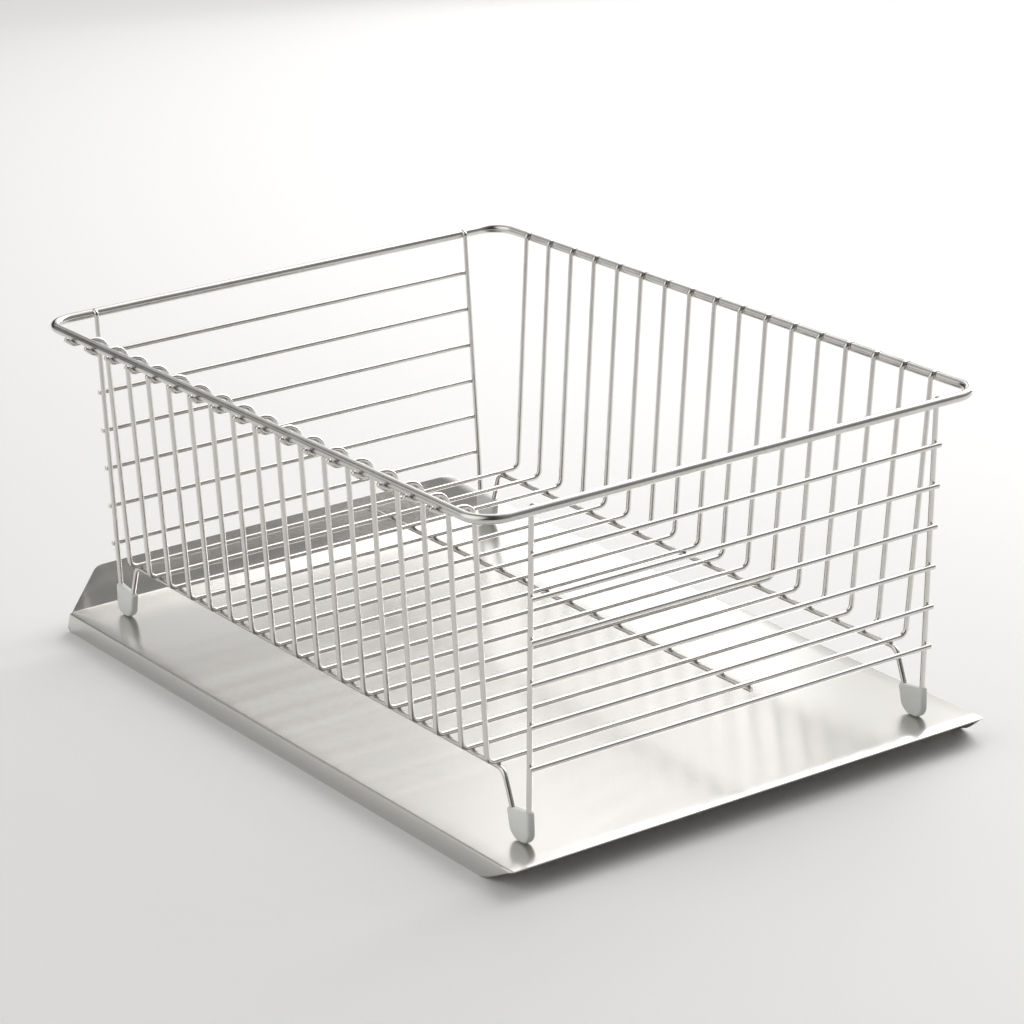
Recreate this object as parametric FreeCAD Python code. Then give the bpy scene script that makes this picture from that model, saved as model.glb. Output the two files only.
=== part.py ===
"""Dish drying rack: a welded wire basket with push-on feet that stands on a folded drip tray.

Frame: X runs along the basket from its tray-flange end (-X) to the tray's open lip (+X), Y runs
across it, Z is up. The tray's lower edges are at Z = 0. Millimetres.
"""
import math
import os

import FreeCAD
import Part

# Wire stock
RIM_R = 2.8                  # rim wire radius
WIRE_R = 1.55                # radius of every other wire
WELD_BITE = 0.12             # how far two welded wires sink into each other

# Tray sheet
SHEET = 0.8                  # sheet thickness
FLOOR_TOP = 13.5             # height of the tray's floor
TRAY_X = 250.0               # half length of the floor
TRAY_Y = 166.5               # half width of the floor
TRAY_OFF = 0.5               # the tray's middle is this far along from the basket's
BEND_R = 1.6                 # outer radius of the long folds
END_BEND_R = 1.2             # inner radius of the fold at the end flange
END_LAP = 10.0               # the end flange is drawn with this much of the floor
FLANGE_SKEW = 5.5            # how far a side flange's lower corner passes the floor's end
SIDE_CUT_FRONT = 28.0        # side flange cut back at the open lip, -Y side
SIDE_CUT_BACK = 17.0         # the same on the +Y side
END_FLANGE_OUT = 16.0        # reach of the sloping end flange
END_FLANGE_UP = 21.0         # its height above the floor
END_FLANGE_INSET = 28.0      # how far its top corners stand in from its foot
END_CORNER_R = 12.0          # radius of those corners
SIDE_CORNER_R = 4.0          # radius of the side flanges' lower corners

# Basket
RIM_X = 242.0                # rim axis, half length
RIM_Y = 170.0                # rim axis, half width
RIM_Z = 209.1                # rim axis height
RIM_CORNER_R = 17.0          # rim axis corner radius
RIB_COUNT = 17               # U-shaped wires
RIB_PITCH = 25.0             # their spacing along the bottom
RIB_FAN = 1.017              # their spacing at the rim over the spacing at the bottom
RIB_Z = 53.8                 # axis height of their bottom runs
RIB_FRONT_Y = -146.0         # bottom corner on the -Y side
RIB_BACK_Y = 149.3           # bottom corner on the +Y side
RIB_BEND_R = 5.2             # bend between bottom and wall
RIB_TOP_Y = -149.3           # top corner of the -Y wall, inside the rim
RIB_TOP_BEND_R = 8.0         # bend from that wall to the hook under the rim
HOOK_TURN = 38.0             # the hook's tip turns up by this, degrees
HOOK_TIP = 7.0               # length of the tip, from the corner
WRAP_TURN = 70.0             # a wire's end turns over the rim by this, degrees

FRAME_FRONT_Y = -138.8       # bottom run of the frame wire on the -Y side
FRAME_BACK_Y = 137.8         # bottom run of the one on the +Y side
FRAME_LEAN = 0.9             # both lean towards +Y by this, degrees
FOOT_X = 228.0               # outer leg of a foot, at its bottom
FOOT_INNER_X = 217.0         # inner leg of a foot, at its bottom
FOOT_RUN_X = 205.4           # corner where the inner leg meets the bottom run
FOOT_Z = 19.8                # axis height of the foot's lowest run
FOOT_BEND_R = 3.8            # bends at the foot's bottom
RUN_BEND_R = 8.0             # bend from the inner leg to the bottom run
CENTRE_Y = 33.0              # the middle support wire
CENTRE_X = 203.0             # its half length
RAIL_COUNT = 6               # cross wires at each end
RAIL_PITCH = 24.7
RAIL_TOP_Z = 183.0           # the highest one
RAIL_PAST = 2.0              # each end stands past the upright's axis by this

# Push-on foot caps
CAP_T = 5.2                  # thickness across the wire
CAP_OUTER_X = 231.0          # outer face
CAP_INNER_X = 209.6          # inner edge at the top
CAP_INNER_LOW_X = 213.0      # the same edge, slanting, carried down to the cap's bottom
CAP_OUTER_TOP_Z = 33.6
CAP_INNER_TOP_Z = 30.6
CAP_OUTER_R = 7.2            # rounding of the outer lower corner
CAP_INNER_R = 9.0            # rounding of the inner lower corner
CAP_LIFT = 0.3               # gap between cap and tray
CAP_CLEAR = 0.06             # gap between cap and wire
POCKET_TOP_Z = 40.0          # the tool that cuts the pocket ends here

RIM_HUG = RIM_R + WIRE_R - WELD_BITE          # axis distance of a wire welded on the rim
CROSS = 2 * WIRE_R - WELD_BITE                # axis distance of two crossing wires
RUN_Z = RIB_Z - CROSS                         # the wires under the ribs

# The part's origin is the middle of its footprint.
END_SLANT = math.hypot(END_FLANGE_OUT, END_FLANGE_UP)
REACH_LEFT = TRAY_X + END_FLANGE_OUT + SHEET * END_FLANGE_UP / END_SLANT - TRAY_OFF
REACH_RIGHT = TRAY_X + TRAY_OFF
HOOK_REACH = RIM_HUG * math.tan(math.radians(HOOK_TURN / 2)) + HOOK_TIP * math.cos(math.radians(HOOK_TURN))
REACH_FRONT = RIM_Y + HOOK_REACH + WIRE_R * math.sin(math.radians(HOOK_TURN))
SHIFT = FreeCAD.Vector((REACH_LEFT - REACH_RIGHT) / 2, (REACH_FRONT - RIM_Y - RIM_R) / 2, 0)


def vec(x, y, z):
    return FreeCAD.Vector(x, y, z)


def rounded_path(points, radii):
    """Edges of straight runs through points, with a tangent arc at each inner point."""
    edges = []
    start = points[0]
    for corner, following, radius in zip(points[1:-1], points[2:], radii):
        into = (corner - start).normalize()
        out = (following - corner).normalize()
        half = into.getAngle(out) / 2
        trim = radius * math.tan(half)
        first = corner - into * trim
        last = corner + out * trim
        middle = corner + (out - into).normalize() * (radius / math.cos(half) - radius)
        if (first - start).Length > 1e-6:
            edges.append(Part.LineSegment(start, first).toShape())
        edges.append(Part.Arc(first, middle, last).toShape())
        start = last
    if (points[-1] - start).Length > 1e-6:
        edges.append(Part.LineSegment(start, points[-1]).toShape())
    return Part.Wire(edges)


def sweep(path, radius):
    """Round bar of this radius along a path of tangent edges."""
    first = path.Edges[0]
    at = first.valueAt(first.FirstParameter)
    along = first.tangentAt(first.FirstParameter)
    ring = Part.Wire(Part.Circle(at, along, radius).toShape())
    return path.makePipeShell([ring], True, False)


def wrap_end(low, turn):
    """Corner and end of a bar that rises from low and bends over the rim.

    Works in the plane across the rim, from (outward, up) measured at the rim's axis.
    """
    distance = math.hypot(*low)
    rise = math.atan2(-low[1], -low[0]) + math.asin(RIM_HUG / distance)
    touch = (-RIM_HUG * math.sin(rise), RIM_HUG * math.cos(rise))
    trim = RIM_HUG * math.tan(turn / 2)
    corner = (touch[0] + trim * math.cos(rise), touch[1] + trim * math.sin(rise))
    end = (corner[0] + trim * math.cos(rise - turn), corner[1] + trim * math.sin(rise - turn))
    return corner, end


def rim():
    """Closed rounded rectangle of thick wire."""
    start = vec(0, -RIM_Y, RIM_Z)
    corners = [vec(x * RIM_X, y * RIM_Y, RIM_Z) for x, y in ((1, -1), (1, 1), (-1, 1), (-1, -1))]
    path = rounded_path([start] + corners + [start], [RIM_CORNER_R] * 4)
    return sweep(path, RIM_R)


def rib():
    """One U-shaped wire in the plane X = 0, from its hook at -Y to its wrapped end at +Y."""
    under_rim = RIM_Z - RIM_HUG
    turn = math.radians(HOOK_TURN)
    hook_y = -RIM_Y - RIM_HUG * math.tan(turn / 2)
    tip = vec(0, hook_y - HOOK_TIP * math.cos(turn), under_rim + HOOK_TIP * math.sin(turn))
    corner, end = wrap_end((RIB_BACK_Y - RIM_Y, RIB_Z - RIM_Z), math.radians(WRAP_TURN))
    points = [
        tip,
        vec(0, hook_y, under_rim),
        vec(0, RIB_TOP_Y, under_rim),
        vec(0, RIB_FRONT_Y, RIB_Z),
        vec(0, RIB_BACK_Y, RIB_Z),
        vec(0, RIM_Y + corner[0], RIM_Z + corner[1]),
        vec(0, RIM_Y + end[0], RIM_Z + end[1]),
    ]
    radii = [RIM_HUG, RIB_TOP_BEND_R, RIB_BEND_R, RIB_BEND_R, RIM_HUG]
    return sweep(rounded_path(points, radii), WIRE_R)


def placed_rib(base, x):
    """A rib at X, leaning outward so that the ribs fan a little towards the rim."""
    lean = math.degrees(math.atan2(x * (RIB_FAN - 1), RIM_Z - RIB_Z))
    shape = base.copy()
    shape.rotate(vec(0, 0, RIB_Z), vec(0, 1, 0), lean)
    shape.translate(vec(x, 0, 0))
    return shape


def leaned(shape, y):
    """A shape drawn upright at Y = 0, leaned with a frame wire and moved to its place."""
    out = shape.copy()
    out.rotate(vec(0, 0, RUN_Z), vec(1, 0, 0), -FRAME_LEAN)
    out.translate(vec(0, y, 0))
    return out


def half_frame():
    """Corner points of one end of a frame wire, from the rim down to the bottom run."""
    corner, end = wrap_end((FOOT_X - RIM_X, FOOT_Z - RIM_Z), math.radians(WRAP_TURN))
    return [
        vec(RIM_X + end[0], 0, RIM_Z + end[1]),
        vec(RIM_X + corner[0], 0, RIM_Z + corner[1]),
        vec(FOOT_X, 0, FOOT_Z),
        vec(FOOT_INNER_X, 0, FOOT_Z),
        vec(FOOT_RUN_X, 0, RUN_Z),
    ]


def frame_wire(y):
    """Long wire: an upright, a foot, the bottom run, the other foot and the other upright."""
    right = half_frame()
    left = [vec(-p.x, 0, p.z) for p in reversed(right)]
    radii = [RIM_HUG, FOOT_BEND_R, FOOT_BEND_R, RUN_BEND_R]
    return leaned(sweep(rounded_path(right + left, radii + radii[::-1]), WIRE_R), y)


def upright_x(z):
    """X of an upright's axis at a height, on the +X side."""
    corner = half_frame()[1]
    share = (z - FOOT_Z) / (corner.z - FOOT_Z)
    return FOOT_X + share * (corner.x - FOOT_X)


def centre_support():
    return Part.makeCylinder(WIRE_R, 2 * CENTRE_X, vec(-CENTRE_X, CENTRE_Y, RUN_Z), vec(1, 0, 0))


def rail(side, level):
    """Cross wire welded on the outside of two uprights; level 0 is the highest."""
    z = RAIL_TOP_Z - level * RAIL_PITCH
    x = side * (upright_x(z) + CROSS)
    drift = (z - RUN_Z) * math.tan(math.radians(FRAME_LEAN))
    start = FRAME_FRONT_Y + drift - RAIL_PAST
    length = FRAME_BACK_Y - FRAME_FRONT_Y + 2 * RAIL_PAST
    return Part.makeCylinder(WIRE_R, length, vec(x, start, z), vec(0, 1, 0))


def cap_outline():
    """Outline of a foot cap in the XZ plane, on the +X side."""
    bottom = FLOOR_TOP + CAP_LIFT
    top_inner = vec(CAP_INNER_X, 0, CAP_INNER_TOP_Z)
    top_outer = vec(CAP_OUTER_X, 0, CAP_OUTER_TOP_Z)
    points = [top_outer, vec(CAP_OUTER_X, 0, bottom), vec(CAP_INNER_LOW_X, 0, bottom), top_inner]
    rounded = rounded_path(points, [CAP_OUTER_R, CAP_INNER_R])
    return Part.Wire(rounded.Edges + [Part.LineSegment(top_inner, top_outer).toShape()])


def foot_cap():
    """Push-on cap around the bottom of a foot, at +X and Y = 0."""
    body = Part.Face(cap_outline()).extrude(vec(0, CAP_T, 0))
    body.translate(vec(0, -CAP_T / 2, 0))
    leg = (FOOT_RUN_X - FOOT_INNER_X) / (RUN_Z - FOOT_Z)
    points = [
        vec(upright_x(POCKET_TOP_Z), 0, POCKET_TOP_Z),
        vec(FOOT_X, 0, FOOT_Z),
        vec(FOOT_INNER_X, 0, FOOT_Z),
        vec(FOOT_INNER_X + leg * (POCKET_TOP_Z - FOOT_Z), 0, POCKET_TOP_Z),
    ]
    pocket = sweep(rounded_path(points, [FOOT_BEND_R] * 2), WIRE_R + CAP_CLEAR)
    return body.cut(pocket)


def side_flange_outline(cut_back):
    """Blank of a side flange in the XZ plane."""
    lip = vec(TRAY_X, 0, FLOOR_TOP)
    low_lip = vec(TRAY_X - cut_back, 0, 0)
    low_end = vec(-TRAY_X - FLANGE_SKEW, 0, 0)
    end = vec(-TRAY_X, 0, FLOOR_TOP)
    start = vec(0, 0, FLOOR_TOP)
    return rounded_path([start, lip, low_lip, low_end, end, start], [0.01, SIDE_CORNER_R, SIDE_CORNER_R, 0.01])


def channel():
    """Floor with its two long folds, as one bent sheet running along X."""
    length = 2 * (TRAY_X + FLANGE_SKEW)
    outer = rounded_path(
        [vec(0, -TRAY_Y, 0), vec(0, -TRAY_Y, FLOOR_TOP), vec(0, TRAY_Y, FLOOR_TOP), vec(0, TRAY_Y, 0)],
        [BEND_R, BEND_R],
    )
    inner_y = TRAY_Y - SHEET
    inner_z = FLOOR_TOP - SHEET
    inner = rounded_path(
        [vec(0, inner_y, 0), vec(0, inner_y, inner_z), vec(0, -inner_y, inner_z), vec(0, -inner_y, 0)],
        [BEND_R - SHEET, BEND_R - SHEET],
    )
    feet = [
        Part.LineSegment(vec(0, TRAY_Y, 0), vec(0, inner_y, 0)).toShape(),
        Part.LineSegment(vec(0, -inner_y, 0), vec(0, -TRAY_Y, 0)).toShape(),
    ]
    section = Part.Face(Part.Wire(outer.Edges + [feet[0]] + inner.Edges + [feet[1]]))
    section.translate(vec(-length / 2, 0, 0))
    return section.extrude(vec(length, 0, 0))


def end_flange():
    """Sloping flange at the -X end, with the fold that joins it to the floor."""
    corner = vec(-TRAY_X, 0, FLOOR_TOP)
    inside = [corner + vec(END_LAP, 0, 0), corner, corner + vec(-END_FLANGE_OUT, 0, END_FLANGE_UP)]
    slope = (inside[2] - corner).normalize()
    fold = math.atan2(slope.z, -slope.x)
    under = vec(0, 0, -SHEET)
    outside = [
        inside[2] - vec(slope.z, 0, -slope.x) * SHEET,
        corner + under - vec(SHEET * math.tan(fold / 2), 0, 0),
        inside[0] + under,
    ]
    top = rounded_path(inside, [END_BEND_R])
    bottom = rounded_path(outside, [END_BEND_R + SHEET])
    ends = [
        Part.LineSegment(inside[2], outside[0]).toShape(),
        Part.LineSegment(outside[2], inside[0]).toShape(),
    ]
    half = TRAY_Y - BEND_R
    sheet = Part.Face(Part.Wire(top.Edges + [ends[0]] + bottom.Edges + [ends[1]]))
    sheet.translate(vec(0, -half, 0))
    sheet = sheet.extrude(vec(0, 2 * half, 0))
    crest = half - END_FLANGE_INSET
    blank = rounded_path(
        [
            vec(0, 0, 0),
            vec(0, -half, 0),
            vec(0, -half, FLOOR_TOP),
            vec(0, -crest, FLOOR_TOP + END_FLANGE_UP),
            vec(0, crest, FLOOR_TOP + END_FLANGE_UP),
            vec(0, half, FLOOR_TOP),
            vec(0, half, 0),
            vec(0, 0, 0),
        ],
        [1.0, 1.0, END_CORNER_R, END_CORNER_R, 1.0, 1.0],
    )
    blank = Part.Face(blank)
    blank.translate(vec(-TRAY_X + END_LAP, 0, 0))
    return sheet.common(blank.extrude(vec(-END_LAP - END_FLANGE_OUT - END_LAP, 0, 0)))


def tray():
    """Drip tray: floor, two side flanges turned down and a sloping end flange turned up."""
    blanks = []
    for side, cut_back in ((-1, SIDE_CUT_FRONT), (1, SIDE_CUT_BACK)):
        blanks.append(Part.Face(side_flange_outline(cut_back)).extrude(vec(0, side * (TRAY_Y + SHEET), 0)))
    bent = channel().common(blanks[0].fuse(blanks[1]))
    sheet = bent.fuse(end_flange()).removeSplitter()
    sheet.translate(vec(TRAY_OFF, 0, 0))
    return sheet


def save(name, shape):
    placed = shape.copy()
    placed.translate(SHIFT)
    placed.exportStep("parts/%s.step" % name)
    print(name, placed.isValid(), len(placed.Solids), round(placed.Volume, 1))


def main():
    os.makedirs("parts", exist_ok=True)
    save("drip_tray", tray())
    save("rim_wire", rim())
    base = rib()
    for number in range(RIB_COUNT):
        x = (number - (RIB_COUNT - 1) / 2) * RIB_PITCH
        save("basket_rib_%02d" % (number + 1), placed_rib(base, x))
    save("frame_wire_front", frame_wire(FRAME_FRONT_Y))
    save("frame_wire_back", frame_wire(FRAME_BACK_Y))
    save("centre_support_wire", centre_support())
    for end, side in (("left", -1), ("right", 1)):
        for level in range(RAIL_COUNT):
            save("end_rail_%s_%d" % (end, level + 1), rail(side, level))
    cap = foot_cap()
    other_cap = cap.mirror(vec(0, 0, 0), vec(1, 0, 0))
    for end, shape in (("left", other_cap), ("right", cap)):
        for edge, y in (("front", FRAME_FRONT_Y), ("back", FRAME_BACK_Y)):
            save("foot_cap_%s_%s" % (end, edge), leaned(shape, y))


main()
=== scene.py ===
"""Looks of the dish drying rack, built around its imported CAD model.

X runs along the rack, Y across it and Z up, in metres. The wires, welds, caps and the tray are drawn
afresh as fine meshes along the CAD pieces' own lines, and each stands for its CAD node.
"""
import math

import bmesh
import bpy
from mathutils import Matrix, Vector


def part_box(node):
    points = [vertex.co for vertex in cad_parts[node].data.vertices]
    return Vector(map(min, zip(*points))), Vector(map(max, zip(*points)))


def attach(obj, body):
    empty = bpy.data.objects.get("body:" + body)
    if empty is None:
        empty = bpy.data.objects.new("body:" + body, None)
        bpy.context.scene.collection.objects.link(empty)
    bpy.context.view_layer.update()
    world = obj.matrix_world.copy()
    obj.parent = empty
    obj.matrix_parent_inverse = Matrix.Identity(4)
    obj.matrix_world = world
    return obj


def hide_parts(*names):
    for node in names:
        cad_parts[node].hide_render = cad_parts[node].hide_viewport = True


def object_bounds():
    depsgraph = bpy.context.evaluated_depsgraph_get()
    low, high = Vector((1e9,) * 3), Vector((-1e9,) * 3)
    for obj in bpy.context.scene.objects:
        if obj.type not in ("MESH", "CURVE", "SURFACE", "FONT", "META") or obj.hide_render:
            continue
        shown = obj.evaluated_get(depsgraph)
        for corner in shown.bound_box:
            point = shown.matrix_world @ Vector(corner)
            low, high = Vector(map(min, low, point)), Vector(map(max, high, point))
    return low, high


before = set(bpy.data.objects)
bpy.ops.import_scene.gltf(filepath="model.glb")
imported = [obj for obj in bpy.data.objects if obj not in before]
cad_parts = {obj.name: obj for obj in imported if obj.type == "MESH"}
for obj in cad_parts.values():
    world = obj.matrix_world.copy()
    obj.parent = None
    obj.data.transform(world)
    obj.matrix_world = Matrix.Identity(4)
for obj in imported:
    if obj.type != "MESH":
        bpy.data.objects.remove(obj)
cad_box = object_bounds()

MM = 0.001

# Wire stock
RIM_R = 2.8 * MM
WIRE_R = 1.55 * MM
WELD_BITE = 0.12 * MM
RIM_HUG = RIM_R + WIRE_R - WELD_BITE
CROSS = 2 * WIRE_R - WELD_BITE
END_CHAMFER = 0.3 * MM
DOME_DEPTH = 0.9 * MM
DOME_ANGLES = (75, 55, 35, 15)

# Rim
RIM_LOW, RIM_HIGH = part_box("rim_wire")
RIM_X = (RIM_HIGH.x - RIM_LOW.x) / 2 - RIM_R
RIM_Y = (RIM_HIGH.y - RIM_LOW.y) / 2 - RIM_R
RIM_Z = (RIM_HIGH.z + RIM_LOW.z) / 2
RIM_CORNER_R = 17 * MM
MIDDLE = Vector(((RIM_HIGH.x + RIM_LOW.x) / 2, (RIM_HIGH.y + RIM_LOW.y) / 2, 0))

# U-shaped ribs
RIB_COUNT = 17
RIB_PITCH = 25 * MM
RIB_FAN = 1.017
RIB_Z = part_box("basket_rib_09")[0].z + WIRE_R
RIB_FRONT_Y = -146 * MM
RIB_BACK_Y = 149.3 * MM
RIB_BEND_R = 5.2 * MM
RIB_TOP_Y = -149.3 * MM
RIB_TOP_BEND_R = 8 * MM
HOOK_TURN = math.radians(38)
HOOK_TIP = 6 * MM
WRAP_SIDE = 3.7 * MM
WRAP_RISE = 2.1 * MM
WRAP_PAST = 1.0 * MM
WRAP_BEND_R = 2.2 * MM
FRAME_WRAP_RISE = 1.5 * MM
FRAME_WRAP_PAST = -0.6 * MM

# Long frame wires with their feet
FRAME_FRONT_Y = -138.8 * MM
FRAME_BACK_Y = 137.8 * MM
FRAME_LEAN = math.radians(0.9)
FOOT_X = 228 * MM
FOOT_INNER_X = 217 * MM
FOOT_RUN_X = 205.4 * MM
FOOT_Z = 19.8 * MM
FOOT_BEND_R = 3.8 * MM
RUN_BEND_R = 8 * MM
RUN_Z = RIB_Z - CROSS
CENTRE_Y = 33 * MM
CENTRE_X = 203 * MM

# Cross wires at both ends
RAIL_COUNT = 6
RAIL_PITCH = 24.7 * MM
RAIL_TOP_Z = 183 * MM
RAIL_PAST = 2 * MM

# Weld nuggets: half lengths along, across and up
WELD_SIZES = (1.9 * MM, 1.45 * MM, 0.85 * MM)
HOOK_WELD_SIZES = (1.3 * MM, 1.3 * MM, 0.5 * MM)

# Push-on foot caps
CAP_T = 5.2 * MM
CAP_OUTER_X = 231 * MM
CAP_INNER_X = 209.6 * MM
CAP_INNER_LOW_X = 213 * MM
CAP_OUTER_TOP_Z = 33.6 * MM
CAP_INNER_TOP_Z = 30.6 * MM
CAP_OUTER_R = 7.2 * MM
CAP_INNER_R = 9 * MM
CAP_EDGE_R = 1.7 * MM
CAP_SHARP = math.radians(40)
CAP_BOTTOM_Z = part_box("foot_cap_right_front")[0].z

# Tray sheet
TRAY_LOW, TRAY_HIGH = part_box("drip_tray")
SHEET = 0.8 * MM
FLOOR_TOP = 13.5 * MM
LIP_X = TRAY_HIGH.x
TRAY_MIDDLE_Y = (TRAY_LOW.y + TRAY_HIGH.y) / 2
TRAY_HALF_Y = (TRAY_HIGH.y - TRAY_LOW.y) / 2
BEND_R = 1.6 * MM
END_BEND_R = 1.2 * MM
END_RISE = TRAY_HIGH.z - FLOOR_TOP
END_REACH = 16 * MM
END_INSET = 28 * MM
END_CORNER_R = 12 * MM
END_SLOPE = math.atan2(END_RISE, END_REACH)
END_X = TRAY_LOW.x + END_REACH + SHEET * math.sin(END_SLOPE)
END_CORNER_LEAN = math.atan2(END_RISE, END_INSET)
END_CORNER_TRIM = END_CORNER_R * math.tan(END_CORNER_LEAN / 2)
END_CORNER_Z = END_RISE - END_CORNER_TRIM * math.sin(END_CORNER_LEAN)
FLANGE_SKEW = 5.5 * MM
SIDE_CUT_FRONT = 28 * MM
SIDE_CUT_BACK = 17 * MM
SIDE_CORNER_R = 4 * MM
SHEET_EDGE = 0.15 * MM
TRAY_FLAT_Y = TRAY_HALF_Y - BEND_R
BEND_X = END_X + END_BEND_R * math.tan(END_SLOPE / 2)

# Fineness of the meshes
ARC_STEP = math.radians(6)
SAME_POINT = 0.01 * MM
WIRE_SIDES = 20
RIM_SIDES = 32
FLOOR_COLUMNS = 48
FLOOR_ROWS = 32
FLANGE_ROWS = 6
BEND_ROWS = 6
CORNER_ROWS = 10

X_AXIS = Vector((1, 0, 0))
Y_AXIS = Vector((0, 1, 0))
Z_AXIS = Vector((0, 0, 1))


# ---------------------------------------------------------------- lines and tubes

def rounded_line(points, radii):
    """Points along straight runs, with a tangent arc at each inner point."""
    line = [points[0]]
    for before, corner, after, radius in zip(points, points[1:], points[2:], radii):
        into = (corner - before).normalized()
        out = (after - corner).normalized()
        turn = into.angle(out)
        axis = into.cross(out).normalized()
        first = corner - into * radius * math.tan(turn / 2)
        centre = first + axis.cross(into) * radius
        steps = max(2, math.ceil(turn / ARC_STEP))
        for step in range(steps + 1):
            line.append(centre + Matrix.Rotation(turn * step / steps, 3, axis) @ (first - centre))
    line.append(points[-1])
    kept = line[:1]
    for point in line[1:]:
        if (point - kept[-1]).length > SAME_POINT:
            kept.append(point)
    return kept


def directions(line, closed):
    """Unit tangent at each point of a line."""
    count = len(line)
    found = []
    for i in range(count):
        if closed:
            before, after = line[i - 1], line[(i + 1) % count]
        else:
            before, after = line[max(i - 1, 0)], line[min(i + 1, count - 1)]
        here = line[i]
        into = (here - before).normalized() if here != before else Vector()
        out = (after - here).normalized() if after != here else Vector()
        found.append((into + out).normalized())
    return found


def end_rings(radius, domed):
    """Rings that close an open end, from the tip in: (how far past the line's end, share of the radius)."""
    if not domed:
        return [(0.0, 1 - END_CHAMFER / radius), (-END_CHAMFER, 1.0)]
    rings = []
    for degrees in DOME_ANGLES:
        angle = math.radians(degrees)
        rings.append((DOME_DEPTH * math.sin(angle), math.cos(angle)))
    return rings + [(0.0, 1.0)]


def add_tube(mesh, line, radius, sides=WIRE_SIDES, closed=False, domed=False):
    """Adds a round bar along a line to a bmesh; open ends get a small chamfer or a dome."""
    line = [p.copy() for p in line]
    scales = [1.0] * len(line)
    if not closed:
        start = (line[0] - line[1]).normalized()
        end = (line[-1] - line[-2]).normalized()
        tips = end_rings(radius, domed)
        first = [line[0] + start * past for past, share in tips]
        last = [line[-1] + end * past for past, share in reversed(tips)]
        shares = [share for past, share in tips]
        scales = shares + [1.0] * (len(line) - 2) + shares[::-1]
        line = first + line[1:-1] + last
    tangents = directions(line, closed)
    side = tangents[0].orthogonal().normalized()
    rings = []
    for i, (point, along) in enumerate(zip(line, tangents)):
        if i:
            turn = tangents[i - 1].rotation_difference(along)
            side = turn @ side
        side = (side - along * side.dot(along)).normalized()
        other = along.cross(side)
        ring = []
        for k in range(sides):
            angle = 2 * math.pi * k / sides
            offset = (side * math.cos(angle) + other * math.sin(angle)) * radius * scales[i]
            ring.append(mesh.verts.new(point + offset))
        rings.append(ring)
    pairs = list(zip(rings, rings[1:]))
    if closed:
        pairs.append((rings[-1], rings[0]))
    for low, high in pairs:
        for k in range(sides):
            after = (k + 1) % sides
            mesh.faces.new((low[k], low[after], high[after], high[k]))
    if not closed:
        mesh.faces.new(list(reversed(rings[0])))
        mesh.faces.new(rings[-1])


def add_bead(mesh, place, along, up, sizes):
    """Adds a small ellipsoid weld to a bmesh; sizes are its half lengths along, across and up."""
    along = along.normalized()
    up = (up - along * up.dot(along)).normalized()
    across = up.cross(along)
    turn = Matrix((along, across, up)).transposed().to_4x4()
    scale = Matrix.Diagonal((*sizes, 1))
    bmesh.ops.create_uvsphere(
        mesh, u_segments=14, v_segments=9, radius=1, matrix=Matrix.Translation(place) @ turn @ scale
    )


def finish_piece(name, mesh, material, body, sharp=40):
    """Turns a bmesh into a smooth-shaded object of this material that rides on a body."""
    bmesh.ops.recalc_face_normals(mesh, faces=mesh.faces)
    data = bpy.data.meshes.new(name)
    mesh.to_mesh(data)
    mesh.free()
    data.materials.append(material)
    data.shade_smooth()
    data.set_sharp_from_angle(angle=math.radians(sharp))
    piece = bpy.data.objects.new(name, data)
    bpy.context.scene.collection.objects.link(piece)
    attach(piece, body)
    return piece


def tube_piece(name, node, line, radius, material, sides=WIRE_SIDES, closed=False, domed=False):
    """A wire of the basket that stands for its CAD node."""
    mesh = bmesh.new()
    add_tube(mesh, line, radius, sides, closed, domed)
    piece = finish_piece(name, mesh, material, "basket")
    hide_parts(node)


def wire_piece(name, node, line, material, domed=False):
    """A thin wire of the basket."""
    tube_piece(name, node, line, WIRE_R, material, domed=domed)


# ---------------------------------------------------------------- materials

def new_material(name):
    """A node material, with its nodes and links."""
    material = bpy.data.materials.new(name)
    material.use_nodes = True
    return material, material.node_tree.nodes, material.node_tree.links


def object_noise(nodes, links, scale, detail, stretch=(1, 1, 1)):
    """Noise in the object's own coordinates."""
    place = nodes.new("ShaderNodeTexCoord")
    mapping = nodes.new("ShaderNodeMapping")
    mapping.inputs["Scale"].default_value = stretch
    noise = nodes.new("ShaderNodeTexNoise")
    noise.inputs["Scale"].default_value = scale
    noise.inputs["Detail"].default_value = detail
    links.new(place.outputs["Object"], mapping.inputs["Vector"])
    links.new(mapping.outputs["Vector"], noise.inputs["Vector"])
    return noise.outputs["Fac"]


def spread(nodes, links, value, low, high):
    """Maps a noise value to a range."""
    span = nodes.new("ShaderNodeMapRange")
    span.inputs["From Min"].default_value = 0.3
    span.inputs["From Max"].default_value = 0.7
    span.inputs["To Min"].default_value = low
    span.inputs["To Max"].default_value = high
    links.new(value, span.inputs["Value"])
    return span.outputs["Result"]


def tinted(nodes, links, value, dark, light):
    """Colour between two tints, by a noise value."""
    ramp = nodes.new("ShaderNodeValToRGB")
    ramp.color_ramp.elements[0].position = 0.3
    ramp.color_ramp.elements[1].position = 0.7
    ramp.color_ramp.elements[0].color = (*dark, 1)
    ramp.color_ramp.elements[1].color = (*light, 1)
    links.new(value, ramp.inputs["Fac"])
    return ramp.outputs["Color"]


def bumped(nodes, links, heights):
    """Normal from several (height, strength, distance) layers."""
    normal = None
    for height, strength, distance in heights:
        bump = nodes.new("ShaderNodeBump")
        bump.inputs["Strength"].default_value = strength
        bump.inputs["Distance"].default_value = distance
        links.new(height, bump.inputs["Height"])
        if normal:
            links.new(normal, bump.inputs["Normal"])
        normal = bump.outputs["Normal"]
    return normal


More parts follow.
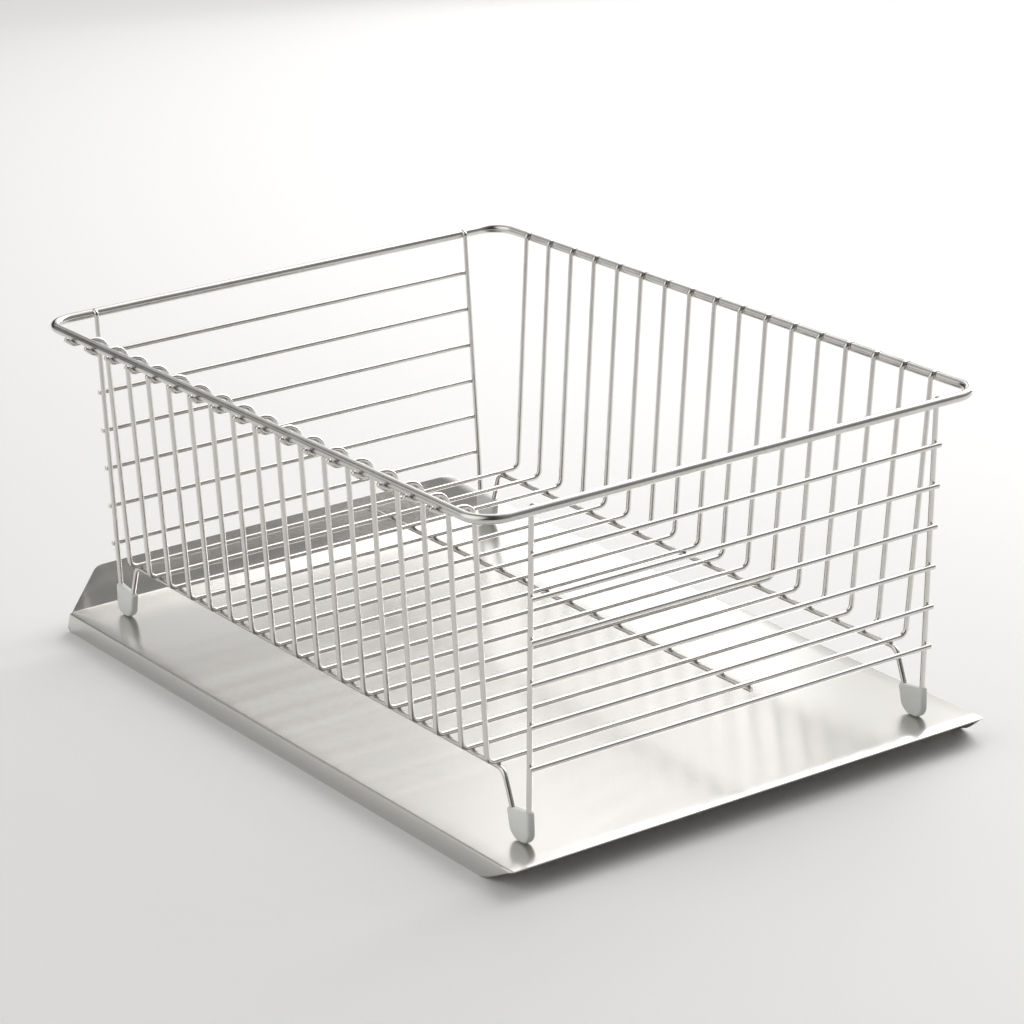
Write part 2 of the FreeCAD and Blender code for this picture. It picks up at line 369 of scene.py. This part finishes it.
def wire_steel(name, roughness, dark, light):
    """Electropolished stainless wire: even satin gloss with faint drawing marks."""
    material, nodes, links = new_material(name)
    shader = nodes["Principled BSDF"]
    shader.inputs["Metallic"].default_value = 1.0
    cloudy = object_noise(nodes, links, 60, 3)
    grain = object_noise(nodes, links, 2200, 2)
    links.new(tinted(nodes, links, cloudy, dark, light), shader.inputs["Base Color"])
    rough = spread(nodes, links, cloudy, roughness - 0.03, roughness + 0.04)
    links.new(rough, shader.inputs["Roughness"])
    normal = bumped(nodes, links, [(grain, 0.05, 0.05 * MM), (cloudy, 0.03, 0.3 * MM)])
    links.new(normal, shader.inputs["Normal"])
    return material


def tray_steel():
    """Satin stainless sheet, very finely brushed along its length and a little wavy."""
    material, nodes, links = new_material("tray_satin_steel")
    shader = nodes["Principled BSDF"]
    shader.inputs["Metallic"].default_value = 1.0
    shader.inputs["Anisotropic"].default_value = 0.45
    place = nodes.new("ShaderNodeUVMap")
    stretch = nodes.new("ShaderNodeMapping")
    stretch.inputs["Scale"].default_value = (0.03, 1, 1)
    brushed = nodes.new("ShaderNodeTexNoise")
    brushed.inputs["Scale"].default_value = 2600
    brushed.inputs["Detail"].default_value = 2
    links.new(place.outputs["UV"], stretch.inputs["Vector"])
    links.new(stretch.outputs["Vector"], brushed.inputs["Vector"])
    grain = brushed.outputs["Fac"]
    cloudy = object_noise(nodes, links, 9, 2)
    wavy = object_noise(nodes, links, 26, 1)
    tint = tinted(nodes, links, grain, (0.655, 0.645, 0.625), (0.695, 0.685, 0.665))
    links.new(tint, shader.inputs["Base Color"])
    links.new(spread(nodes, links, cloudy, 0.20, 0.25), shader.inputs["Roughness"])
    normal = bumped(nodes, links, [(grain, 0.04, 0.02 * MM), (wavy, 0.10, 0.4 * MM)])
    links.new(normal, shader.inputs["Normal"])
    along = nodes.new("ShaderNodeTangent")
    along.direction_type = "UV_MAP"
    links.new(along.outputs["Tangent"], shader.inputs["Tangent"])
    return material


def weld_shade_painted_steel():
    """Weld nuggets: a little rougher than the wire and darker, the darker colour being painted shade where
    the wires cross and meet the rim.
    """
    return wire_steel("weld_shade_painted_steel", 0.36, (0.36, 0.345, 0.325), (0.52, 0.505, 0.48))


def cap_silicone():
    """Light grey silicone with a soft matt skin."""
    material, nodes, links = new_material("foot_cap_silicone")
    shader = nodes["Principled BSDF"]
    cloudy = object_noise(nodes, links, 220, 3)
    skin = object_noise(nodes, links, 2600, 2)
    tint = tinted(nodes, links, cloudy, (0.80, 0.815, 0.79), (0.84, 0.855, 0.83))
    links.new(tint, shader.inputs["Base Color"])
    links.new(spread(nodes, links, skin, 0.46, 0.58), shader.inputs["Roughness"])
    shader.inputs["Specular IOR Level"].default_value = 0.4
    shader.inputs["Subsurface Weight"].default_value = 0.08
    shader.inputs["Subsurface Radius"].default_value = (0.0015, 0.0014, 0.0013)
    links.new(bumped(nodes, links, [(skin, 0.12, 0.05 * MM)]), shader.inputs["Normal"])
    return material


# ---------------------------------------------------------------- basket

def rib_points():
    """Corner points of a rib in the plane X = 0."""
    under_rim = RIM_Z - RIM_HUG
    hook_y = -RIM_Y - RIM_HUG * math.tan(HOOK_TURN / 2)
    tip = Vector((0, hook_y - HOOK_TIP * math.cos(HOOK_TURN), under_rim + HOOK_TIP * math.sin(HOOK_TURN)))
    return [
        tip,
        Vector((0, hook_y, under_rim)),
        Vector((0, RIB_TOP_Y, under_rim)),
        Vector((0, RIB_FRONT_Y, RIB_Z)),
        Vector((0, RIB_BACK_Y, RIB_Z)),
        Vector((0, RIM_Y - WRAP_SIDE, RIM_Z + WRAP_RISE)),
        Vector((0, RIM_Y + WRAP_PAST, RIM_Z + WRAP_RISE)),
    ]


def rib_x(number):
    """X of a rib along the bottom."""
    return (number - (RIB_COUNT + 1) / 2) * RIB_PITCH


def rib_place(number):
    """Matrix that moves the rib drawn at X = 0 to its place, leaning out with the fan."""
    x = rib_x(number)
    lean = math.atan2(x * (RIB_FAN - 1), RIM_Z - RIB_Z)
    pivot = Matrix.Translation((0, 0, RIB_Z))
    leaned = pivot @ Matrix.Rotation(lean, 4, "Y") @ pivot.inverted()
    return Matrix.Translation(MIDDLE + X_AXIS * x) @ leaned


def half_frame():
    """Corner points of one end of a frame wire, from the rim down to the bottom run."""
    return [
        Vector((RIM_X + FRAME_WRAP_PAST, 0, RIM_Z + FRAME_WRAP_RISE)),
        Vector((RIM_X - WRAP_SIDE, 0, RIM_Z + FRAME_WRAP_RISE)),
        Vector((FOOT_X, 0, FOOT_Z)),
        Vector((FOOT_INNER_X, 0, FOOT_Z)),
        Vector((FOOT_RUN_X, 0, RUN_Z)),
    ]


def frame_place(y):
    """Matrix that leans a frame wire drawn at Y = 0 and moves it to its place."""
    pivot = Matrix.Translation((0, 0, RUN_Z))
    leaned = pivot @ Matrix.Rotation(-FRAME_LEAN, 4, "X") @ pivot.inverted()
    return Matrix.Translation(MIDDLE + Y_AXIS * y) @ leaned


def upright_x(z):
    """X of an upright's axis at a height, on the +X side."""
    corner = half_frame()[1]
    return FOOT_X + (z - FOOT_Z) / (corner.z - FOOT_Z) * (corner.x - FOOT_X)


def rail_ends(side, level):
    """The two ends of a cross wire's axis; level 0 is the highest."""
    z = RAIL_TOP_Z - level * RAIL_PITCH
    x = side * (upright_x(z) + CROSS)
    drift = (z - RUN_Z) * math.tan(FRAME_LEAN)
    start = FRAME_FRONT_Y + drift - RAIL_PAST
    end = FRAME_BACK_Y + drift + RAIL_PAST
    return MIDDLE + Vector((x, start, z)), MIDDLE + Vector((x, end, z))


def build_rim(material):
    """Closed rounded rectangle of thick wire."""
    corners = []
    for x, y in ((1, -1), (1, 1), (-1, 1), (-1, -1)):
        corners.append(MIDDLE + Vector((x * RIM_X, y * RIM_Y, RIM_Z)))
    start = (corners[3] + corners[0]) / 2
    line = rounded_line([start] + corners + [start], [RIM_CORNER_R] * 4)[:-1]
    tube_piece("rim", "rim_wire", line, RIM_R, material, sides=RIM_SIDES, closed=True)


def build_ribs(material):
    """U-shaped wires that hang from the rim's two long sides."""
    line = rounded_line(rib_points(), [RIM_HUG, RIB_TOP_BEND_R, RIB_BEND_R, RIB_BEND_R, WRAP_BEND_R])
    for number in range(1, RIB_COUNT + 1):
        place = rib_place(number)
        name = "rib_%02d" % number
        wire_piece(name, "basket_" + name, [place @ p for p in line], material, domed=True)


def build_frame_wires(material):
    """Two long wires with their feet, and the straight one between them."""
    right = half_frame()
    left = [Vector((-p.x, 0, p.z)) for p in reversed(right)]
    radii = [WRAP_BEND_R, FOOT_BEND_R, FOOT_BEND_R, RUN_BEND_R]
    line = rounded_line(right + left, radii + radii[::-1])
    for edge, y in (("front", FRAME_FRONT_Y), ("back", FRAME_BACK_Y)):
        place = frame_place(y)
        name = "frame_wire_" + edge
        wire_piece("long_" + name, name, [place @ p for p in line], material, domed=True)
    ends = [MIDDLE + Vector((x, CENTRE_Y, RUN_Z)) for x in (-CENTRE_X, CENTRE_X)]
    wire_piece("centre_wire", "centre_support_wire", ends, material)


def build_rails(material):
    """Cross wires on the outside of the uprights at both ends."""
    for end, side in (("left", -1), ("right", 1)):
        for level in range(RAIL_COUNT):
            name = "rail_%s_%d" % (end, level + 1)
            wire_piece(name, "end_" + name, rail_ends(side, level), material)


def build_welds(material):
    """Small nuggets where the wires cross and where the hooks meet the rim."""
    bottom = bmesh.new()
    rim = bmesh.new()
    rails = bmesh.new()
    joint_z = RUN_Z + CROSS / 2
    for number in range(1, RIB_COUNT + 1):
        x = rib_x(number)
        for y in (FRAME_FRONT_Y, CENTRE_Y, FRAME_BACK_Y):
            add_bead(bottom, MIDDLE + Vector((x, y, joint_z)), X_AXIS, Z_AXIS, WELD_SIZES)
        under = MIDDLE + Vector((x * RIB_FAN, -RIM_Y, RIM_Z - RIM_R))
        add_bead(rim, under, Y_AXIS, Z_AXIS, HOOK_WELD_SIZES)
    for side in (-1, 1):
        for level in range(RAIL_COUNT):
            first, last = rail_ends(side, level)
            for y in (first.y + RAIL_PAST, last.y - RAIL_PAST):
                place = Vector((first.x - side * CROSS / 2, y, first.z))
                add_bead(rails, place, Z_AXIS, X_AXIS, WELD_SIZES)
    for name, mesh in (("bottom", bottom), ("rim", rim), ("rails", rails)):
        finish_piece("welds_" + name, mesh, material, "basket")


# ---------------------------------------------------------------- foot caps

def cap_outline():
    """Outline of a foot cap in the XZ plane on the +X side, going round from the outer top."""
    points = [
        Vector((CAP_OUTER_X, 0, CAP_OUTER_TOP_Z)),
        Vector((CAP_OUTER_X, 0, CAP_BOTTOM_Z)),
        Vector((CAP_INNER_LOW_X, 0, CAP_BOTTOM_Z)),
        Vector((CAP_INNER_X, 0, CAP_INNER_TOP_Z)),
    ]
    return rounded_line(points, [CAP_OUTER_R, CAP_INNER_R])


def build_caps(material):
    """Push-on caps: the outline drawn out to its thickness, with its edges rounded."""
    for end, side in (("left", -1), ("right", 1)):
        for edge, y in (("front", FRAME_FRONT_Y), ("back", FRAME_BACK_Y)):
            mesh = bmesh.new()
            outline = [Vector((side * p.x, -CAP_T / 2, p.z)) for p in cap_outline()]
            face = mesh.faces.new([mesh.verts.new(p) for p in outline])
            made = bmesh.ops.extrude_face_region(mesh, geom=[face])
            moved = [g for g in made["geom"] if isinstance(g, bmesh.types.BMVert)]
            bmesh.ops.translate(mesh, verts=moved, vec=(0, CAP_T, 0))
            bmesh.ops.recalc_face_normals(mesh, faces=mesh.faces)
            sharp = [e for e in mesh.edges if e.calc_face_angle(0) > CAP_SHARP]
            bmesh.ops.bevel(
                mesh, geom=sharp, offset=CAP_EDGE_R, offset_type="OFFSET", segments=4, profile=0.5,
                affect="EDGES", clamp_overlap=True,
            )
            mesh.transform(frame_place(y))
            name = "foot_cap_%s_%s" % (end, edge)
            piece = finish_piece("soft_" + name, mesh, material, "basket", sharp=60)
            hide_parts(name)


# ---------------------------------------------------------------- drip tray

def side_rows():
    """Rows up one long fold, each as its distance outward from the floor's edge and its height."""
    rows = []
    for step in range(FLANGE_ROWS + 1):
        rows.append((BEND_R, step / FLANGE_ROWS * (FLOOR_TOP - BEND_R)))
    for step in range(1, BEND_ROWS + 1):
        angle = math.pi / 2 * step / BEND_ROWS
        rows.append((BEND_R * math.cos(angle), FLOOR_TOP - BEND_R + BEND_R * math.sin(angle)))
    return rows


def flange_ends(z, cut_back):
    """X of the two ends of a side flange at a height, with rounded lower corners."""
    share = 1 - z / FLOOR_TOP
    low, high = END_X - FLANGE_SKEW * share, LIP_X - cut_back * share
    if z < SIDE_CORNER_R:
        drop = SIDE_CORNER_R - z
        inset = SIDE_CORNER_R - math.sqrt(max(SIDE_CORNER_R ** 2 - drop ** 2, 0))
        low += inset
        high -= inset
    return low, high


def end_width(z):
    """Half width of the end flange at a height above its foot."""
    if z <= END_CORNER_Z:
        return TRAY_FLAT_Y - END_INSET * z / END_RISE
    flat = TRAY_FLAT_Y - END_INSET - END_CORNER_TRIM
    drop = z - (END_RISE - END_CORNER_R)
    return flat + math.sqrt(max(END_CORNER_R ** 2 - drop ** 2, 0))


def end_rows():
    """Rows up the end flange as (x, z): its fold, its straight sides and its rounded corners."""
    rows = []
    for step in range(1, BEND_ROWS + 1):
        angle = END_SLOPE * step / BEND_ROWS
        x = BEND_X - END_BEND_R * math.sin(angle)
        rows.append((x, FLOOR_TOP + END_BEND_R - END_BEND_R * math.cos(angle)))
    first = rows[-1][1] - FLOOR_TOP
    heights = []
    for step in range(1, FLANGE_ROWS + 1):
        heights.append(first + (END_CORNER_Z - first) * step / FLANGE_ROWS)
    for step in range(1, CORNER_ROWS + 1):
        angle = END_CORNER_LEAN * (1 - step / CORNER_ROWS)
        heights.append(END_RISE - END_CORNER_R * (1 - math.cos(angle)))
    for z in heights:
        rows.append((END_X - z / math.tan(END_SLOPE), FLOOR_TOP + z))
    return rows


def row_across(mesh, x, z, half):
    """A row of points across the tray."""
    row = []
    for j in range(FLOOR_ROWS + 1):
        y = TRAY_MIDDLE_Y + half * (2 * j / FLOOR_ROWS - 1)
        row.append(mesh.verts.new((x, y, z)))
    return row


def join_rows(mesh, first, second):
    """Faces between two rows of points."""
    for j in range(len(first) - 1):
        mesh.faces.new((first[j], first[j + 1], second[j + 1], second[j]))


def add_side_flange(mesh, floor_edge, side, cut_back):
    """One long flange, from its foot up and round its fold to the floor's edge."""
    previous = None
    for out, z in side_rows():
        low, high = flange_ends(z, cut_back)
        y = TRAY_MIDDLE_Y + side * (TRAY_FLAT_Y + out)
        row = [mesh.verts.new((low, y, z))]
        if abs(z - FLOOR_TOP) < SAME_POINT:
            row += floor_edge
        else:
            for i in range(FLOOR_COLUMNS + 1):
                row.append(mesh.verts.new((BEND_X + (high - BEND_X) * i / FLOOR_COLUMNS, y, z)))
        if previous and side < 0:
            join_rows(mesh, previous, row)
        elif previous:
            join_rows(mesh, row, previous)
        previous = row


def tray_surface():
    """Top surface of the sheet: floor, two side flanges and the end flange."""
    mesh = bmesh.new()
    floor = []
    for i in range(FLOOR_COLUMNS + 1):
        x = BEND_X + (LIP_X - BEND_X) * i / FLOOR_COLUMNS
        floor.append(row_across(mesh, x, FLOOR_TOP, TRAY_FLAT_Y))
    add_side_flange(mesh, [row[0] for row in floor], -1, SIDE_CUT_FRONT)
    add_side_flange(mesh, [row[-1] for row in floor], 1, SIDE_CUT_BACK)
    previous = floor[0]
    for x, z in end_rows():
        row = row_across(mesh, x, z, end_width(z - FLOOR_TOP))
        join_rows(mesh, previous, row)
        previous = row
    for first, second in zip(floor, floor[1:]):
        join_rows(mesh, second, first)
    bmesh.ops.recalc_face_normals(mesh, faces=mesh.faces)
    if floor[1][1].normal.z < 0:
        bmesh.ops.reverse_faces(mesh, faces=mesh.faces)
    data = bpy.data.meshes.new("tray_sheet")
    mesh.to_mesh(data)
    mesh.free()
    return data


def thicken(sheet):
    """Gives the sheet its thickness below the surface and takes the sharpness off its edges."""
    thick = sheet.modifiers.new("thickness", "SOLIDIFY")
    thick.thickness = SHEET
    thick.offset = -1
    thick.use_even_offset = True
    edges = sheet.modifiers.new("edges", "BEVEL")
    edges.width = SHEET_EDGE
    edges.segments = 2
    edges.limit_method = "ANGLE"
    edges.angle_limit = math.radians(60)
    bpy.context.view_layer.update()
    solid = bpy.data.meshes.new_from_object(sheet.evaluated_get(bpy.context.evaluated_depsgraph_get()))
    sheet.modifiers.clear()
    sheet.data = solid
    solid.name = "tray_sheet"


def unfold(data):
    """UV map of the sheet laid flat, in metres: U along the rack and V across it."""
    layer = data.uv_layers.new(name="flat")
    for loop in data.loops:
        x, y, z = data.vertices[loop.vertex_index].co
        y -= TRAY_MIDDLE_Y
        u = x - max(z - FLOOR_TOP, 0)
        v = y + math.copysign(max(FLOOR_TOP - z, 0), y)
        layer.data[loop.index].uv = (u, v)


def build_tray(material):
    """One thin sheet: floor, two side flanges turned down and a sloping end flange turned up."""
    data = tray_surface()
    data.materials.append(material)
    sheet = bpy.data.objects.new("tray_sheet", data)
    bpy.context.scene.collection.objects.link(sheet)
    thicken(sheet)
    unfold(sheet.data)
    sheet.data.shade_smooth()
    sheet.data.set_sharp_from_angle(angle=math.radians(35))
    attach(sheet, "tray")
    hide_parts("drip_tray")


# ---------------------------------------------------------------- studio

CAMERA_AZIMUTH = math.radians(56.361)
CAMERA_ELEVATION = math.radians(19.46)
CAMERA_ROLL = math.radians(-2.368)
CAMERA_DISTANCE = 2.1879
CAMERA_LENS = 128.19
CAMERA_TARGET = MIDDLE + Vector((0.00708, 0.00531, 0.11156))
CAMERA_SENSOR_WIDTH = 36

FLOOR_SIZE = 14
FLOOR_COLOUR = (0.95, 0.95, 0.945, 1)

# Soft patches of the sky: direction, cosine where it starts, cosine where it is full, brightness
SKY_LOBES = (
    ((-0.24, 0.64, 0.73), 0.7, 0.95, 0.92),
    ((-0.25, -0.85, 0.55), 0.6, 0.95, 1.2),
    ((0.6, 0.7, 0.45), 0.4, 0.95, 0.25),
    ((-0.66, 0.70, 0.28), 0.9, 0.97, 0.39),
)
SKY_DARKEST = 0.05
SKY_TINT = (1.0, 0.99, 0.975, 1)

LIGHT_TINT = (1.0, 0.995, 0.985)

# Large soft boxes aimed at the rack: name, place, size and brightness
SOFT_BOXES = (
    ("high_back", (-0.6, 1.6, 1.8), (1.5, 1.3), 2.8),
    ("far_left", (-3.0, 0.6, 2.6), (2.6, 2.2), 0.47),
)

# Upright panels in a ring behind the rack: direction round from +X in degrees, and brightness
PANELS = (
    (154.39, 0.30),
    (142.41, 1.11),
    (118.37, 2.45),
    (102.40, 6.0),
)
PANEL_DISTANCE = 2.1
PANEL_Z = 0.81
PANEL_SIZE = (0.43, 1.38)


def build_camera():
    """Camera of the picture, rolled a little."""
    sine, cosine = math.sin(CAMERA_AZIMUTH), math.cos(CAMERA_AZIMUTH)
    lift, level = math.sin(CAMERA_ELEVATION), math.cos(CAMERA_ELEVATION)
    back = Vector((sine * level, -cosine * level, lift))
    right = Vector((cosine, sine, 0))
    up = back.cross(right)
    tilted_right = right * math.cos(CAMERA_ROLL) + up * math.sin(CAMERA_ROLL)
    tilted_up = back.cross(tilted_right)
    turn = Matrix((tilted_right, tilted_up, back)).transposed().to_4x4()
    data = bpy.data.cameras.new("camera")
    data.lens = CAMERA_LENS
    data.sensor_width = CAMERA_SENSOR_WIDTH
    data.clip_start = 0.1
    data.clip_end = 40
    camera = bpy.data.objects.new("camera", data)
    camera.matrix_world = Matrix.Translation(CAMERA_TARGET + back * CAMERA_DISTANCE) @ turn
    bpy.context.scene.collection.objects.link(camera)
    bpy.context.scene.camera = camera


def area_light(name, place, aim, size, glow):
    """Soft box of this brightness, seen from any distance."""
    data = bpy.data.lights.new(name, "AREA")
    data.shape = "RECTANGLE"
    data.size, data.size_y = size
    data.energy = glow * math.pi * size[0] * size[1]
    data.color = LIGHT_TINT
    light = bpy.data.objects.new(name, data)
    light.location = place
    light.rotation_euler = (Vector(aim) - Vector(place)).to_track_quat("-Z", "Y").to_euler()
    bpy.context.scene.collection.objects.link(light)


def lobe(nodes, links, direction, axis, start, full, strength):
    """Soft patch of the sky round an axis, from nothing at the cosine start to its strength at full."""
    near = nodes.new("ShaderNodeVectorMath")
    near.operation = "DOT_PRODUCT"
    near.inputs[1].default_value = Vector(axis).normalized()
    rise = nodes.new("ShaderNodeMapRange")
    rise.interpolation_type = "SMOOTHSTEP"
    rise.inputs["From Min"].default_value = start
    rise.inputs["From Max"].default_value = full
    rise.inputs["To Max"].default_value = strength
    links.new(direction, near.inputs[0])
    links.new(near.outputs["Value"], rise.inputs["Value"])
    return rise.outputs["Result"]


def build_world():
    """Studio round the rack: pale behind, overhead and at the front left, dim behind the camera."""
    world = bpy.data.worlds.new("studio")
    bpy.context.scene.world = world
    world.use_nodes = True
    nodes, links = world.node_tree.nodes, world.node_tree.links
    background = nodes["Background"]
    place = nodes.new("ShaderNodeTexCoord")
    total = None
    for axis, start, full, strength in SKY_LOBES:
        part = lobe(nodes, links, place.outputs["Generated"], axis, start, full, strength)
        if total is None:
            total = part
        else:
            add = nodes.new("ShaderNodeMath")
            add.operation = "ADD"
            links.new(total, add.inputs[0])
            links.new(part, add.inputs[1])
            total = add.outputs["Value"]
    add = nodes.new("ShaderNodeMath")
    add.operation = "MAXIMUM"
    add.inputs[1].default_value = SKY_DARKEST
    links.new(total, add.inputs[0])
    links.new(add.outputs["Value"], background.inputs["Strength"])
    background.inputs["Color"].default_value = SKY_TINT


def build_floor():
    """Plain pale floor under the tray."""
    half = FLOOR_SIZE / 2
    corners = [(-half, -half, 0), (half, -half, 0), (half, half, 0), (-half, half, 0)]
    data = bpy.data.meshes.new("floor")
    data.from_pydata(corners, [], [(0, 1, 2, 3)])
    floor = bpy.data.objects.new("floor", data)
    floor.location = (0, 0, cad_box[0].z)
    bpy.context.scene.collection.objects.link(floor)
    material = new_material("floor_paper")[0]
    shader = material.node_tree.nodes["Principled BSDF"]
    shader.inputs["Base Color"].default_value = FLOOR_COLOUR
    shader.inputs["Specular IOR Level"].default_value = 0.2
    shader.inputs["Roughness"].default_value = 0.55
    data.materials.append(material)


def build_lights():
    for name, place, size, glow in SOFT_BOXES:
        area_light(name, place, (0, 0, 0), size, glow)
    for number, (direction, glow) in enumerate(PANELS, 1):
        angle = math.radians(direction)
        place = (PANEL_DISTANCE * math.cos(angle), PANEL_DISTANCE * math.sin(angle), PANEL_Z)
        area_light("panel_%d" % number, place, (0, 0, PANEL_Z), PANEL_SIZE, glow)


def build_studio():
    build_camera()
    build_world()
    build_floor()
    build_lights()
    scene = bpy.context.scene
    scene.view_settings.view_transform = "Standard"
    scene.view_settings.look = "None"


# ---------------------------------------------------------------- everything

def main():
    wire = wire_steel("wire_satin_steel", 0.18, (0.70, 0.685, 0.66), (0.77, 0.755, 0.73))
    rim = wire_steel("rim_satin_steel", 0.20, (0.64, 0.63, 0.61), (0.72, 0.71, 0.69))
    build_rim(rim)
    build_ribs(wire)
    build_frame_wires(wire)
    build_rails(wire)
    # The welds' darker colour is painted shade at the crossings and under the rim.
    build_welds(weld_shade_painted_steel())
    build_caps(cap_silicone())
    build_tray(tray_steel())
    build_studio()


main()
